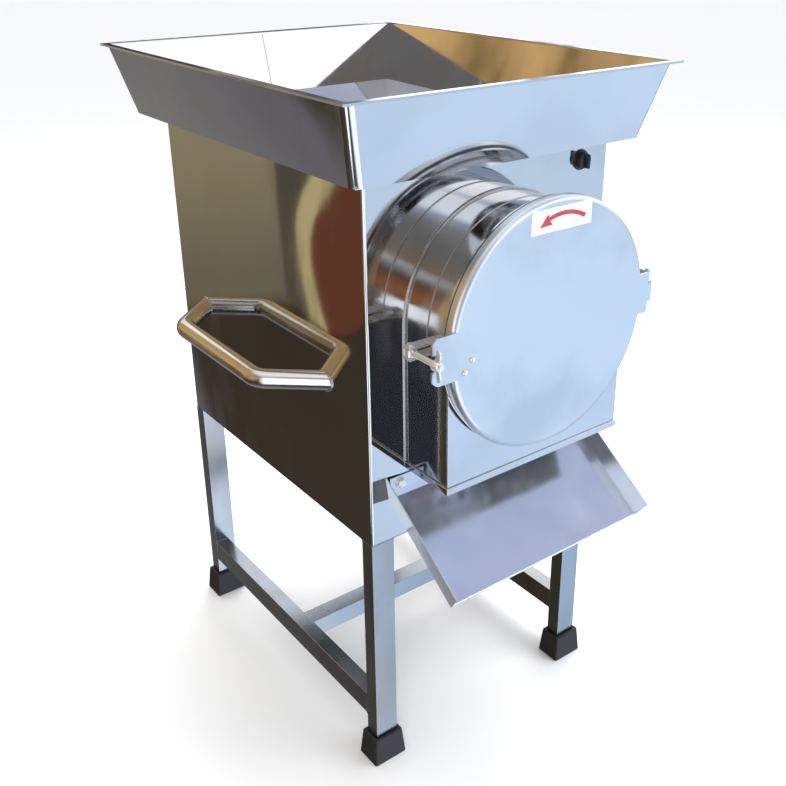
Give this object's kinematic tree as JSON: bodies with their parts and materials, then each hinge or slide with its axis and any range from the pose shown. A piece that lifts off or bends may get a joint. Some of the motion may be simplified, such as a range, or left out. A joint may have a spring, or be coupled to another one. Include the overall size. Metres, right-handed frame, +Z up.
{
  "type": "fruit crusher",
  "caption": "Motor-driven fruit crusher: flared square hopper over a steel body on four legs, round crushing drum with hinged front cover, spout and sloping chute.",
  "frame": {"origin": "middle of the whole machine's plan, on the floor it stands on", "axes": "+Z up, -Y towards the drum's cover and the chute, +X to the right of someone facing the cover"},
  "size_m": [0.598, 0.7808, 1.03],
  "materials": {
    "stand_steel": "satin-polished stainless tube",
    "foot_rubber": "black moulded rubber, dull",
    "panel_steel": "mirror-polished stainless sheet",
    "hopper_steel": "polished stainless sheet",
    "drum_steel": "polished stainless sheet",
    "cover_steel": "satin stainless, finely brushed",
    "seal_rubber": "grey-black seal rubber",
    "plate_print": "white plate with a red curved arrow",
    "bright_fittings": "bright steel fasteners",
    "chute_steel": "polished stainless sheet",
    "handle_steel": "polished stainless tube",
    "rotor_steel": "machined steel",
    "cast_grey": "painted cast iron",
    "bracket_steel": "grey painted plate",
    "motor_paint": "blue-grey enamel",
    "belt_rubber": "black drive belt",
    "black_plastic": "black moulded plastic"
  },
  "bodies": {
    "frame": {"leg_front_left": "stand_steel", "leg_rear_left": "stand_steel", "leg_front_right": "stand_steel", "leg_rear_right": "stand_steel", "side_rail_left": "stand_steel", "side_rail_right": "stand_steel", "cross_rail": "stand_steel", "foot_front_left": "foot_rubber", "foot_rear_left": "foot_rubber", "foot_front_right": "foot_rubber", "foot_rear_right": "foot_rubber", "body_shell": "panel_steel", "rear_panel": "panel_steel", "hopper_walls": "hopper_steel", "hopper_shelf": "hopper_steel", "feed_floor": "hopper_steel", "wall_strap": "hopper_steel", "throat_pit": "hopper_steel", "drum_shell": "drum_steel", "drum_front_plate": "drum_steel", "spout_lip": "drum_steel", "drum_ring": "drum_steel", "drum_back_plate": "drum_steel", "screen": "drum_steel", "shaft_seal": "seal_rubber", "hinge_lugs": "bright_fittings", "hinge_pin": "bright_fittings", "latch_fork": "bright_fittings", "latch_pin": "bright_fittings", "chute_bolts": "bright_fittings", "rear_panel_screws": "bright_fittings", "bearing_bolts": "bright_fittings", "motor_bolts": "bright_fittings", "chute_tray": "chute_steel", "handle_left": "handle_steel", "handle_right": "handle_steel", "bearing_blocks": "cast_grey", "bearing_bridge": "bracket_steel", "base_bars": "bracket_steel", "motor_plate": "bracket_steel", "motor_frame": "motor_paint", "motor_cowl": "motor_paint", "terminal_box": "motor_paint", "drive_belt": "belt_rubber", "cable_gland": "black_plastic", "switch_bezel": "black_plastic"},
    "cover": {"cover_dish": "cover_steel", "cover_gasket": "seal_rubber", "arrow_plate": "plate_print", "cover_rivets": "cover_steel"},
    "latch_bolt": {"swing_bolt": "bright_fittings"},
    "wing": {"wing_nut": "bright_fittings"},
    "rotor": {"rotor_shaft": "rotor_steel", "rotor_beaters": "rotor_steel", "rotor_pulley": "cast_grey"},
    "motor_rotor": {"motor_shaft_rod": "rotor_steel", "motor_pulley_wheel": "cast_grey"},
    "switch": {"switch_knob": "black_plastic"}
  },
  "joints": [
    {"name": "cover_hinge", "type": "hinge", "parent": "frame", "child": "cover", "pos_m": [0.2, -0.33962, 0.723], "axis": [0, 0, 1], "range_deg": [0, 115]},
    {"name": "latch_swing", "type": "hinge", "parent": "frame", "child": "latch_bolt", "pos_m": [-0.192, -0.30062, 0.718], "axis": [0, 0, -1], "range_deg": [0, 92]},
    {"name": "wing_nut_spin", "type": "hinge", "parent": "latch_bolt", "child": "wing", "pos_m": [-0.192, -0.35562, 0.718], "axis": [0, -1, 0], "continuous": true},
    {"name": "rotor_spin", "type": "hinge", "parent": "frame", "child": "rotor", "pos_m": [0.008, 0.04438, 0.718], "axis": [0, 1, 0], "continuous": true},
    {"name": "motor_spin", "type": "hinge", "parent": "frame", "child": "motor_rotor", "pos_m": [0.008, 0.10438, 0.5245], "axis": [0, 1, 0], "continuous": true},
    {"name": "switch_turn", "type": "hinge", "parent": "frame", "child": "switch", "pos_m": [0.159, -0.24062, 0.897], "axis": [0, -1, 0], "range_deg": [0, 60]}
  ],
  "couplings": [
    {"joint": "latch_swing", "follows": "cover_hinge", "ratio": 0.8},
    {"joint": "motor_spin", "follows": "rotor_spin", "ratio": 1.9912}
  ]
}
